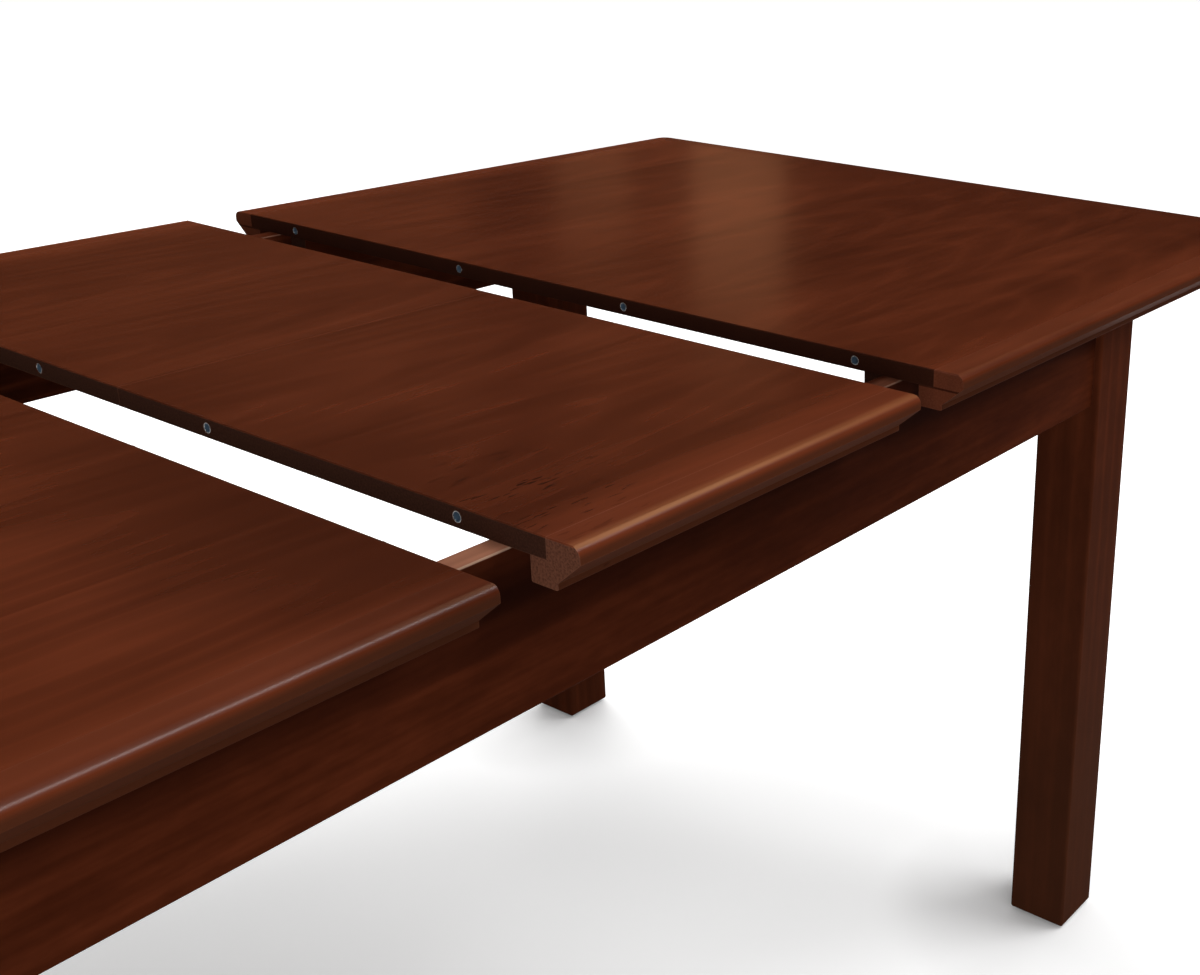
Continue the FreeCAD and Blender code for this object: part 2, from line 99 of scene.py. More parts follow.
# Painted shade, greyish as a reflection of the floor, on faces that don't look up
PAINTED_UNDERSIDE_SHADE = (0.053, 0.0222, 0.0118)
STAIN_UMBER = (0.072, 0.0290, 0.0150)
STAIN_END_DARK = (0.048, 0.0190, 0.0120)
STAIN_END_PALE = (0.240, 0.0900, 0.0520)

# The axes along the grain, across it and into the board, for boards that lie flat and for boards on edge
GRAIN_ORDER = {
    "X": (0, 1, 2),
    "Y": (1, 0, 2),
    "Z": (2, 0, 1),
    "X_on_edge": (0, 2, 1),
    "Y_on_edge": (1, 2, 0),
}

# Patterns in the wood: cycles to a metre along the grain and across it, detail and roughness
STREAKS = (1.7, 34.0, 3.0, 0.55)
THREADS = (1.9, 150.0, 2.0, 0.5)
FIBRES = (9.0, 520.0, 2.0, 0.5)
MOTTLES = (17.0, 36.0, 2.0, 0.5)
CURLS = (42.0, 130.0, 2.0, 0.6)
WANDERS = (2.2, 9.0, 3.0, 0.5)
SPECKS = (55.0, 330.0, 1.0, 0.5)
PORES = (0.0, 640.0, 2.0, 0.5)
CLOUDS = (5.0, 7.0, 7.0)
RINGS_PER_METRE = 420.0
RING_WANDER = 9.0
SEED_STEP = 0.731

# Veneer of the halves and of the leaf: the width of a sheet, and where one of the joints lies. Each sheet
# is shifted at random along the grain and is cut a step deeper than the last.
TOP_VENEER = (0.157, 0.008)
LEAF_VENEER = (0.197, -0.012)
SHEET_SHIFT = 0.10
SHEET_STEP = 0.006
SHEET_SEED_STEP = 31.0
TOP_LACQUER = 0.7

# Places on the table, with the rim and the turn of the nose as distances in from its long sides, and a
# reach that takes in all of it
PANEL_THICKNESS = 0.015
MEETING_EDGE = 0.237
LEAF_EDGE = 0.177
RIM_START, RIM_END = 0.075, 0.008
NOSE_START, NOSE_END = 0.0130, 0.0070
ARRIS_RADIUS = 0.0011
# The level of the painted shadow that the tops' overhang casts on the front apron, and its blur
OVERHANG_SHADOW_LEVEL = 0.681
OVERHANG_SHADOW_BLUR = 0.003
WHOLE = 9.0

# Small hardware, where the solids don't give it
SOCKET_WALL = 0.0007
THREAD_DEPTH = 0.0006
BOLT_WOOD_PITCH = 0.0032
BOLT_WOOD_LENGTH = 0.026
BOLT_FINE_PITCH = 0.00125
BOLT_FINE_LENGTH = 0.030
WASHER_BORE = 0.0041
WASHER_ROUNDING = 0.0004
NUT_CONE_LOW = 1.5
NUT_CONE_HIGH = 0.88
SCREW_HEAD_HEIGHT = 0.0026
SCREW_SHANK = 0.0015
SCREW_THREAD = 0.00048
SCREW_PITCH = 0.0018
SCREW_TIP = 0.005
SCREW_POINT = 0.0001
RECESS_WIDTH = 0.0011
RECESS_REACH = 0.0048
RECESS_DEPTH = 0.0016
SMOOTH_ANGLE = 32.0
SAME_POINT = 1e-6

# Floor: its half width, its greys in the light that it returns and as it is seen, its own glow, where
# that glow is weaker under the table as a painted shadow, and the painted shadows by the feet
FLOOR_REACH = 60.0
FLOOR_RETURNED = (0.38, 0.38, 0.38, 1.0)
FLOOR_SEEN = (0.78, 0.78, 0.78, 1.0)
FLOOR_GLOW = 0.54
FLOOR_GLOW_AWAY = 0.45
FLOOR_SHADOW_DEEPENING = -0.17
FLOOR_SHADOW_MIDDLE = (-0.35, -0.45)
FLOOR_SHADOW_REACH = (0.90, 1.38)
FLOOR_SHADOW_SIDE = (0.30, -0.15)
FOOT_SHADOW_REACH = 0.16
FOOT_SHADOW_RISE = 0.38
FOOT_SHADOW_DEPTH = 2.2
FOOT_SHADOW_LEAST = 0.08

# Studio: the headings, in degrees, between which its glow rises and falls, a dark gap in it, and the
# heights where the glow and the white below it end
GLOW_RISE = (36.0, 40.0)
GLOW_FALL = (78.0, 60.0)
GLOW_GAP = 48.6
GLOW_GAP_EDGE = (0.6, 2.2)
GLOW_TOP = (0.60, 0.40)
HORIZON = (0.035, 0.0)
STUDIO_DIM = (0.012, 0.007, 0.005)
STUDIO_GLOW = (0.115, 0.036, 0.016)

# Lights
WHITE = (1.0, 1.0, 1.0)
WARM = (1.0, 0.43, 0.20)
GOLDEN = (1.0, 0.60, 0.30)
COOL = (0.85, 0.90, 1.0)
PALE = (0.86, 0.93, 0.96)
CEILING = 3.6


class NodeSheet:
    """A node tree, with a short call for each kind of node that the finishes and fittings are made of."""

    def __init__(self, tree):
        self.tree = tree

    def node(self, kind, **settings):
        made = self.tree.nodes.new(kind)
        for key, value in settings.items():
            setattr(made, key, value)
        return made

    def feed(self, socket, value):
        """Links a socket to another node's output, or sets it to a plain value."""
        if isinstance(value, bpy.types.NodeSocket):
            self.tree.links.new(value, socket)
        else:
            socket.default_value = value

    def math(self, operation, a, b=0.0, c=0.0, clamp=False):
        made = self.node("ShaderNodeMath", operation=operation, use_clamp=clamp)
        for socket, value in zip(made.inputs, (a, b, c)):
            self.feed(socket, value)
        return made.outputs[0]

    def times(self, first, *others):
        """The product of values."""
        for other in others:
            first = self.math("MULTIPLY", first, other)
        return first

    def weighted(self, terms):
        """The sum of values times their weights."""
        total = 0.0
        for value, weight in terms:
            total = self.math("MULTIPLY_ADD", value, weight, total)
        return total

    def far(self, *offsets):
        """The distance that offsets along square axes make."""
        squares = self.weighted([(offset, offset) for offset in offsets])
        return self.math("SQRT", squares)

    def split(self, vector):
        made = self.node("ShaderNodeSeparateXYZ")
        self.feed(made.inputs[0], vector)
        return list(made.outputs)

    def join(self, x, y, z):
        made = self.node("ShaderNodeCombineXYZ")
        for socket, value in zip(made.inputs, (x, y, z)):
            self.feed(socket, value)
        return made.outputs[0]

    def scaled(self, vector, amounts):
        made = self.node("ShaderNodeVectorMath", operation="MULTIPLY")
        self.feed(made.inputs[0], vector)
        self.feed(made.inputs[1], amounts)
        return made.outputs[0]

    def noise(self, vector, detail=2.0, roughness=0.5):
        """Cloudy noise about zero, from -0.5 to 0.5, at one cycle to a unit of the vector."""
        made = self.node("ShaderNodeTexNoise")
        self.feed(made.inputs["Vector"], vector)
        self.feed(made.inputs["Scale"], 1.0)
        self.feed(made.inputs["Detail"], detail)
        self.feed(made.inputs["Roughness"], roughness)
        return self.math("SUBTRACT", made.outputs["Fac"], 0.5)

    def random(self, number):
        """Three random values for a whole number."""
        made = self.node("ShaderNodeTexWhiteNoise", noise_dimensions="1D")
        self.feed(made.inputs["W"], number)
        return self.split(made.outputs["Color"])

    def step(self, value, low, high):
        """A smooth rise from 0 at the first of two values to 1 at the second."""
        made = self.node("ShaderNodeMapRange", interpolation_type="SMOOTHSTEP")
        self.feed(made.inputs["Value"], value)
        self.feed(made.inputs["From Min"], low)
        self.feed(made.inputs["From Max"], high)
        return made.outputs["Result"]

    def ramp(self, factor, stops):
        made = self.node("ShaderNodeValToRGB")
        band = made.color_ramp
        band.interpolation = "B_SPLINE"
        while len(band.elements) < len(stops):
            band.elements.new(0.5)
        for element, (position, colour) in zip(band.elements, stops):
            element.position = position
            element.color = (*colour, 1.0)
        self.feed(made.inputs[0], factor)
        return made.outputs["Color"]

    def mix(self, factor, a, b):
        made = self.node("ShaderNodeMix", data_type="RGBA")
        self.feed(made.inputs["Factor"], factor)
        for name, value in (("A", a), ("B", b)):
            socket = [s for s in made.inputs if s.name == name and s.type == "RGBA"][0]
            self.feed(socket, value if isinstance(value, bpy.types.NodeSocket) else (*value, 1.0))
        return [s for s in made.outputs if s.type == "RGBA"][0]


class Finish(NodeSheet):
    """One material, on the object's own coordinates."""

    def __init__(self, name):
        self.material = bpy.data.materials.new(name)
        self.material.use_nodes = True
        super().__init__(self.material.node_tree)
        self.shader = self.tree.nodes["Principled BSDF"]
        coordinates = self.node("ShaderNodeTexCoord")
        self.place = coordinates.outputs["Object"]
        self.facing = coordinates.outputs["Normal"]

    def set(self, **values):
        """Feeds the shader's sockets, named with _ for each space."""
        for name, value in values.items():
            self.feed(self.shader.inputs[name.replace("_", " ")], value)

    def patch(self, axes, middle, reach):
        """1 in the middle of an oval patch, falling to 0 at its reach."""
        offsets = [self.math("DIVIDE", self.math("SUBTRACT", axis, m), r)
                   for axis, m, r in zip(axes, middle, reach)]
        return self.step(self.far(*offsets), 1.0, 0.0)

    def bump(self, height, strength, distance):
        made = self.node("ShaderNodeBump")
        self.feed(made.inputs["Height"], height)
        self.feed(made.inputs["Strength"], strength)
        self.feed(made.inputs["Distance"], distance)
        self.set(Normal=made.outputs["Normal"])

    def worn_arris(self, radius):
        """1 along a piece's sharp edges and 0 on its faces."""
        soft = self.node("ShaderNodeBevel", samples=6)
        self.feed(soft.inputs["Radius"], radius)
        geometry = self.node("ShaderNodeNewGeometry")
        dot = self.node("ShaderNodeVectorMath", operation="DOT_PRODUCT")
        self.feed(dot.inputs[0], soft.outputs["Normal"])
        self.feed(dot.inputs[1], geometry.outputs["Normal"])
        return self.step(dot.outputs["Value"], 0.995, 0.90)


class StainedWood(Finish):
    """Wood under a mahogany stain, whose grain runs along an axis. veneer lays sheets of a width side by
    side from a place; without it the piece is one board."""

    def __init__(self, name, grain, seed, veneer=None):
        super().__init__(name)
        self.axes = self.split(self.place)
        self.level = self.axes[2]
        order = GRAIN_ORDER[grain]
        self.along, self.across, self.depth = (self.axes[i] for i in order)
        facing = self.split(self.facing)
        self.upward = facing[2]
        self.ends = self.step(self.math("ABSOLUTE", facing[order[0]]), 0.75, 0.95)
        self.off, self.tone, layer = self.across, 0.0, self.depth
        if veneer:
            width, joint = veneer
            counted = self.math("DIVIDE", self.math("SUBTRACT", self.across, joint), width)
            rank = self.math("FLOOR", counted)
            luck = self.random(self.math("ADD", rank, seed * SHEET_SEED_STEP))
            self.off = self.times(self.math("SUBTRACT", self.math("FRACT", counted), 0.5), width)
            self.along = self.math("MULTIPLY_ADD", luck[0], SHEET_SHIFT, self.along)
            self.tone = self.math("SUBTRACT", luck[1], 0.5)
            layer = self.math("MULTIPLY_ADD", rank, SHEET_STEP, self.depth)
        self.grained = self.join(self.along, self.off, self.math("ADD", layer, seed * SEED_STEP))
        self.streak = self.pattern(*STREAKS)
        self.thread = self.pattern(*THREADS)
        self.fibre = self.pattern(*FIBRES)
        self.cloud = self.noise(self.scaled(self.place, CLOUDS), 3.0)

    def pattern(self, along, across, detail, roughness):
        """Noise that is drawn out along the grain."""
        return self.noise(self.scaled(self.grained, (along, across, across)), detail, roughness)

    def year_rings(self, pith):
        """Rings round a pith that leans a little along the board. Without a place for it, each sheet or
        board has its own below its middle."""
        if pith:
            lean = self.math("MULTIPLY_ADD", self.along, 0.045, 0.03)
            from_pith = self.far(self.math("SUBTRACT", self.across, pith[0]),
                                 self.math("SUBTRACT", self.depth, pith[1]), lean)
        else:
            lean = self.math("MULTIPLY_ADD", self.along, 0.12, 0.05)
            from_pith = self.far(self.off, lean)
        wander = self.pattern(*WANDERS)
        return self.math("SINE", self.weighted(((from_pith, RINGS_PER_METRE), (wander, RING_WANDER))))

    def stain(self, shade, figure, rings, pith, curl, deeper, pale_rim):
        """Lays the stain over the grain's figure, darker or paler in patches, and thinner along the rim."""
        ring = self.year_rings(pith)
        value = self.weighted((
            (self.streak, 0.60 * figure),
            (self.thread, 0.13 * figure + 0.30 * curl),
            (self.fibre, 0.05 * figure),
            (self.pattern(*MOTTLES), 0.26 * figure),
            (self.pattern(*CURLS), 0.45 * curl),
            (self.cloud, 0.42 * figure),
            (ring, 0.026 * rings),
            (self.step(ring, 0.72, 1.0), 0.050 * rings),
            (self.tone, 0.16),
        ))
        value = self.math("ADD", value, 0.49 - shade)
        for middle, reach, amount in deeper:
            value = self.math("MULTIPLY_ADD", self.patch(self.axes, middle, reach), -amount, value)
        if pale_rim:
            sideways = self.math("ABSOLUTE", self.axes[1])
            rim = self.step(sideways, cad_high[1] - RIM_START, cad_high[1] - RIM_END)
            value = self.math("MULTIPLY_ADD", rim, pale_rim, value)
        self.colour = self.ramp(value, ((0.12, STAIN_DEEP), (0.5, STAIN_MIDDLE), (0.88, STAIN_PALE)))

    def tint(self, colour, *amounts):
        """Mixes a colour in by the product of amounts."""
        self.colour = self.mix(self.times(*amounts), self.colour, colour)

    def brown(self, umber):
        """Umber over the whole piece, most of it near the floor."""
        lower = self.step(self.level, 0.75, 0.0)
        self.tint(STAIN_UMBER, self.math("MULTIPLY_ADD", lower, 0.75 * umber, 0.25 * umber))

    def dull(self, amount):
        """Painted shade on upright and downward faces along the grain: a duller colour, greyish as a
        painted reflection of the floor.
        """
        under = self.step(self.upward, 0.58, -0.05)
        self.tint(PAINTED_UNDERSIDE_SHADE, under, self.math("SUBTRACT", 1.0, self.ends), amount)

    def paint_overhang_shadow(self, level):
        """A painted shadow: a darker band above a level, where the tops' overhang shades the apron."""
        self.tint(NEAR_BLACK_STAIN_AND_SHADE, self.step(self.level, level - OVERHANG_SHADOW_BLUR, level + OVERHANG_SHADOW_BLUR), 0.30)

    def darken(self, dark_stain_and_shade, flecked):
        """Patches of nearly black colour, for painted shade and for a dark cut edge, and patches of dark
        flecks.
        """
        for middle, reach, amount in dark_stain_and_shade:
            self.tint(NEAR_BLACK_STAIN_AND_SHADE, self.patch(self.axes, middle, reach), amount)
        for middle, reach, amount in flecked:
            speck = self.step(self.pattern(*SPECKS), 0.12, 0.20)
            self.tint(NEAR_BLACK_STAIN_AND_SHADE, self.patch(self.axes, middle, reach), speck, amount)

    def paint_nose_highlight(self, amount):
        """A painted golden highlight where the nose starts to turn."""
        sideways = self.math("ABSOLUTE", self.axes[1])
        turning = self.step(sideways, cad_high[1] - NOSE_START, cad_high[1] - NOSE_END)
        self.tint(PAINTED_NOSE_GOLD, turning, self.step(self.upward, 0.60, 0.90), amount)

    def cut_ends(self, pale, bare, layer_level):
        """Pores on the cut ends, and the dark line of a joint across them at a level."""
        dots = self.math("MULTIPLY_ADD", self.pattern(*PORES), 0.3 + 1.8 * pale, pale, clamp=True)
        self.tint(self.mix(dots, STAIN_END_DARK, STAIN_END_PALE), self.ends, bare)
        if layer_level:
            off_level = self.math("ABSOLUTE", self.math("SUBTRACT", self.level, layer_level))
            self.tint(NEAR_BLACK_STAIN_AND_SHADE, self.step(off_level, 0.0013, 0.0004), self.ends, 0.75)

    def wear(self, worn):
        """Worn edges, more in some places than in others."""
        uneven = self.math("ADD", self.cloud, 0.40, clamp=True)
        self.tint(STAIN_WORN_AND_PAINTED_LIGHT, self.worn_arris(ARRIS_RADIUS), uneven, worn)

    def rub_and_paint_light(self, amount):
        """Lighter colour on upward faces and their turned edges, mostly in the left gap: rubbed wear, with
        painted light where light falls through the gap and a painted highlight on the turned edges.
        """
        gap = self.patch(self.axes, (-0.20, 0.0, 0.745), (0.34, WHOLE, WHOLE))
        lit_in_gap = self.math("MULTIPLY_ADD", gap, 0.75, 0.25)
        thin = self.math("MULTIPLY_ADD", self.streak, 2.2, amount, clamp=True)
        self.tint(STAIN_WORN_AND_PAINTED_LIGHT, self.step(self.upward, 0.8, 0.97), lit_in_gap, thin)
        turned = self.times(self.step(self.upward, 0.35, 0.6), self.step(self.upward, 0.995, 0.9))
        self.tint(PAINTED_EDGE_HIGHLIGHT, turned, lit_in_gap, 0.8)

    def polish(self, roughness, lacquer, gloss):
        """The sheen of the wood, with a coat of lacquer on upward faces, and its fine relief."""
        uneven = self.weighted(((self.streak, 0.10), (self.fibre, 0.08), (self.ends, 0.20)))
        self.set(Base_Color=self.colour, Roughness=self.math("ADD", uneven, roughness),
                 Specular_IOR_Level=0.003)
        if lacquer:
            coated = self.step(self.upward, 0.42, 0.66)
            self.set(Coat_Weight=self.times(coated, lacquer), Coat_Roughness=gloss)
        self.bump(self.weighted(((self.fibre, 0.6), (self.thread, 0.4))), 0.10, 0.0004)


def stained_wood(name, grain, seed, veneer=None, shade=0.0, figure=1.0, rings=1.0, pith=None, curl=0.0,
                 deeper=(), pale_rim=0.0, umber=0.0, painted_underside_shade=0.0, painted_shadow_above=None, dark_stain_and_shade=(),
                 flecked=(), painted_nose_highlight=0.0, end_pale=0.12, end_bare=1.0, layer_level=None, worn=0.4,
                 rubbed_and_lit_top=0.0, roughness=0.5, lacquer=0.0, gloss=0.18):
    """The finish of a stained piece. shade deepens the stain, figure strengthens the grain, rings the year
    rings round pith, and curl a lively curled figure. deeper lists patches of darker colour, and of paler
    colour where the amount is below zero, dark_stain_and_shade patches of nearly black, for painted shade
    and for a dark cut edge, and flecked patches of dark flecks, each as middle, reach and amount. pale_rim
    thins the stain along the table's long sides, painted_nose_highlight paints a golden highlight where the
    nose starts to turn, and rubbed_and_lit_top lightens upward faces as rubbed wear and painted light.
    umber browns it, painted_underside_shade paints a greyish shade on the faces that don't look up, and
    painted_shadow_above paints the tops' shadow above a level. end_pale lightens the cut ends, end_bare is
    how little of the stain covers them, and layer_level is a joint across them. worn is the wear of the
    edges. lacquer gives upward faces a coat of roughness gloss, and roughness is that of the bare wood."""
    wood = StainedWood(name, grain, seed, veneer)
    wood.stain(shade, figure, rings, pith, curl, deeper, pale_rim)
    if umber:
        wood.brown(umber)
    if painted_underside_shade:
        wood.dull(painted_underside_shade)
    if painted_shadow_above:
        wood.paint_overhang_shadow(painted_shadow_above)
    wood.darken(dark_stain_and_shade, flecked)
    if painted_nose_highlight:
        wood.paint_nose_highlight(painted_nose_highlight)
    wood.cut_ends(end_pale, end_bare, layer_level)
    wood.wear(worn)
    if rubbed_and_lit_top:
        wood.rub_and_paint_light(rubbed_and_lit_top)
    wood.polish(roughness, lacquer, gloss)
    return wood.material


def brushed_metal(name, colour, roughness):
    """Plated steel or brass with fine turning marks and a little tarnish."""
    finish = Finish(name)
    fine = finish.noise(finish.scaled(finish.place, (2400.0, 900.0, 900.0)))
    patch = finish.noise(finish.scaled(finish.place, (90.0, 90.0, 90.0)), 3.0)
    dull = tuple(c * 0.6 for c in colour)
    rough = finish.weighted(((fine, 0.2), (patch, 0.2)))
    finish.set(Base_Color=finish.mix(finish.math("ADD", patch, 0.35, clamp=True), colour, dull),
               Roughness=finish.math("ADD", rough, roughness), Metallic=1.0)
    finish.bump(fine, 0.08, 0.0001)
    return finish.material


def plated_cup(name):
    """Bright plate on a socket's rim, and inside its bore a dull slate grey that paints the bluish
    reflection of a plated bore.
    """
    finish = Finish(name)
    inside = finish.node("ShaderNodeAttribute", attribute_name="inside").outputs["Fac"]
    fine = finish.noise(finish.scaled(finish.place, (900.0, 2400.0, 2400.0)))
    patch = finish.noise(finish.scaled(finish.place, (300.0, 300.0, 300.0)))
    plate = finish.mix(finish.math("ADD", patch, 0.4, clamp=True), (0.42, 0.40, 0.38), (0.26, 0.25, 0.24))
    # Inside the bore, a slate grey that paints a bluish reflection
    painted_bore_reflection = finish.mix(finish.math("ADD", patch, 0.5, clamp=True), (0.07, 0.11, 0.16), (0.13, 0.20, 0.28))
    rough = finish.weighted(((fine, 0.2), (inside, 0.25)))
    finish.set(Base_Color=finish.mix(inside, plate, painted_bore_reflection), Roughness=finish.math("ADD", rough, 0.28),
               Metallic=finish.math("SUBTRACT", 1.0, inside))
    finish.bump(fine, 0.08, 0.0001)
    return finish.material


def moulded_nylon(name, colour):
    """Matt nylon with a slight moulded texture."""
    finish = Finish(name)
    grit = finish.noise(finish.scaled(finish.place, (1800.0, 1800.0, 1800.0)))
    patch = finish.noise(finish.scaled(finish.place, (60.0, 60.0, 60.0)))
    worn = tuple(c * 1.6 for c in colour)
    finish.set(Base_Color=finish.mix(finish.math("ADD", patch, 0.5, clamp=True), colour, worn),
               Roughness=finish.math("MULTIPLY_ADD", grit, 0.2, 0.55))
    finish.bump(grit, 0.15, 0.0002)
    return finish.material


class Fitting(NodeSheet):
    """A Geometry Nodes tree that makes one fitting along Z, with named inputs for its sizes, and sets
    it on every place that it is given, turned to the place's own axis."""

    def __init__(self, name, *sizes):
        super().__init__(bpy.data.node_groups.new(name, "GeometryNodeTree"))
        sockets = self.tree.interface
        sockets.new_socket("Places", in_out="INPUT", socket_type="NodeSocketGeometry")
        self.keys = {}
        for size in sizes:
            made = sockets.new_socket(size, in_out="INPUT", socket_type="NodeSocketFloat")
            self.keys[size] = made.identifier
        sockets.new_socket("Fittings", in_out="OUTPUT", socket_type="NodeSocketGeometry")
        self.given = self.node("NodeGroupInput").outputs

    def raised(self, shape, level):
        made = self.node("GeometryNodeTransform")
        self.feed(made.inputs["Geometry"], shape)
        self.feed(made.inputs["Translation"], self.join(0.0, 0.0, level))
        return made.outputs["Geometry"]

    def turned(self, low, high, start, length, sides=32):
        """A round bar from a level up along Z, or a cone where its radii at the two ends differ."""
        made = self.node("GeometryNodeMeshCone")
        self.feed(made.inputs["Vertices"], sides)
        self.feed(made.inputs["Radius Bottom"], low)
        self.feed(made.inputs["Radius Top"], high)
        self.feed(made.inputs["Depth"], length)
        return self.raised(made.outputs["Mesh"], start)

    def circle(self, radius, points):
        made = self.node("GeometryNodeCurvePrimitiveCircle")
        self.feed(made.inputs["Resolution"], points)
        self.feed(made.inputs["Radius"], radius)
        return made.outputs["Curve"]

    def swept(self, path, section):
        """A section along a path, kept upright."""
        upright = self.node("GeometryNodeSetCurveNormal", mode="Z_UP")
        self.feed(upright.inputs["Curve"], path)
        made = self.node("GeometryNodeCurveToMesh")
        self.feed(made.inputs["Curve"], upright.outputs["Curve"])
        self.feed(made.inputs["Profile Curve"], section)
        self.feed(made.inputs["Fill Caps"], True)
        return made.outputs["Mesh"]

    def screwed(self, radius, depth, pitch, start, length):
        """A thread round a bar of a radius."""
        made = self.node("GeometryNodeCurveSpiral")
        self.feed(made.inputs["Resolution"], 18)
        self.feed(made.inputs["Rotations"], self.math("DIVIDE", length, pitch))
        self.feed(made.inputs["Start Radius"], radius)
        self.feed(made.inputs["End Radius"], radius)
        self.feed(made.inputs["Height"], length)
        return self.raised(self.swept(made.outputs["Curve"], self.circle(depth, 4)), start)

    def less(self, shape, *tools):
        """A shape with other shapes cut away."""
        made = self.node("GeometryNodeMeshBoolean", operation="DIFFERENCE", solver="EXACT")
        self.feed(made.inputs[0], shape)
        for tool in tools:
            self.feed(made.inputs[1], tool)
        return made.outputs["Mesh"]

    def shared(self, *shapes):
        """What shapes have in common."""
        made = self.node("GeometryNodeMeshBoolean", operation="INTERSECT", solver="EXACT")
        for shape in shapes:
            self.feed(made.inputs[1], shape)
        return made.outputs["Mesh"]

    def together(self, *shapes):
        made = self.node("GeometryNodeJoinGeometry")
        for shape in shapes:
            self.feed(made.inputs[0], shape)
        return made.outputs[0]

    def finish(self, shape, material):
        """Sets the shape on the places and gives it its material."""
        axis = self.node("GeometryNodeInputNamedAttribute", data_type="FLOAT_VECTOR")
        self.feed(axis.inputs["Name"], "axis")
        turn = self.node("FunctionNodeAlignRotationToVector", axis="Z")
        self.feed(turn.inputs["Vector"], axis.outputs["Attribute"])
        copies = self.node("GeometryNodeInstanceOnPoints")
        self.feed(copies.inputs["Points"], self.given["Places"])
        self.feed(copies.inputs["Instance"], shape)
        self.feed(copies.inputs["Rotation"], turn.outputs["Rotation"])
        real = self.node("GeometryNodeRealizeInstances")
        self.feed(real.inputs["Geometry"], copies.outputs["Instances"])
        dressed = self.node("GeometryNodeSetMaterial")
        self.feed(dressed.inputs["Geometry"], real.outputs["Geometry"])
        self.feed(dressed.inputs["Material"], material)
        self.feed(self.node("NodeGroupOutput").inputs["Fittings"], dressed.outputs["Geometry"])
        return self


def edge_socket(material):
    """A cup with a rounded rim, its floor at the place."""
    tree = Fitting("edge_socket", "Radius", "Wall", "Length")
    radius, wall, length = (tree.given[name] for name in ("Radius", "Wall", "Length"))
    rounding = tree.times(wall, 0.5)
    rim_level = tree.math("SUBTRACT", length, rounding)
    bore = tree.math("SUBTRACT", radius, wall)
    floor = tree.times(wall, 2.0)
    cup = tree.less(tree.turned(radius, radius, 0.0, rim_level), tree.turned(bore, bore, floor, length))
    from_axis = tree.far(*tree.split(tree.node("GeometryNodeInputPosition").outputs[0])[:2])
    lined = tree.node("GeometryNodeStoreNamedAttribute")
    tree.feed(lined.inputs["Geometry"], cup)
    tree.feed(lined.inputs["Name"], "inside")
    tree.feed(lined.inputs["Value"], tree.math("LESS_THAN", from_axis, tree.times(bore, 1.02)))
    middle = tree.math("SUBTRACT", radius, rounding)
    rim = tree.raised(tree.swept(tree.circle(middle, 40), tree.circle(rounding, 10)), rim_level)
    return tree.finish(tree.together(lined.outputs["Geometry"], rim), material)


def hanger_bolt(material):
    """A rod with a coarse wood thread at its start, a plain middle and a fine thread at its end."""
    tree = Fitting("hanger_bolt", "Radius", "Thread", "Length", "Wood Pitch", "Wood Length",
                   "Fine Pitch", "Fine Length")
    radius, thread, length = (tree.given[name] for name in ("Radius", "Thread", "Length"))
    core = tree.math("SUBTRACT", radius, thread)
    rod = tree.turned(core, core, 0.0, length)
    wood = tree.screwed(core, thread, tree.given["Wood Pitch"], thread, tree.given["Wood Length"])
    fine_start = tree.math("SUBTRACT", length, tree.math("ADD", tree.given["Fine Length"], thread))
    fine = tree.screwed(core, thread, tree.given["Fine Pitch"], fine_start, tree.given["Fine Length"])
    return tree.finish(tree.together(rod, wood, fine), material)


def bolt_washer(material):
    """A flat ring with soft edges."""
    tree = Fitting("bolt_washer", "Radius", "Bore", "Thickness", "Rounding")
    radius, bore, thickness = (tree.given[name] for name in ("Radius", "Bore", "Thickness"))
    section = tree.node("GeometryNodeCurvePrimitiveQuadrilateral")
    tree.feed(section.inputs["Width"], tree.math("SUBTRACT", radius, bore))
    tree.feed(section.inputs["Height"], thickness)
    soft = tree.node("GeometryNodeFilletCurve", mode="POLY")
    tree.feed(soft.inputs["Curve"], section.outputs["Curve"])
    tree.feed(soft.inputs["Radius"], tree.given["Rounding"])
    middle = tree.times(tree.math("ADD", radius, bore), 0.5)
    ring = tree.swept(tree.circle(middle, 40), soft.outputs["Curve"])
    return tree.finish(tree.raised(ring, tree.times(thickness, 0.5)), material)


def bolt_nut(material):
    """A hexagon with its outer corners turned off and a round hole."""
    tree = Fitting("bolt_nut", "Radius", "Bore", "Height")
    radius, bore, height = (tree.given[name] for name in ("Radius", "Bore", "Height"))
    hexagon = tree.turned(radius, radius, 0.0, height, 6)
    cone = tree.turned(tree.times(radius, NUT_CONE_LOW), tree.times(radius, NUT_CONE_HIGH), 0.0, height, 48)
    hole = tree.turned(bore, bore, tree.times(height, -0.5), tree.times(height, 2.0))
    return tree.finish(tree.less(tree.shared(hexagon, cone), hole), material)


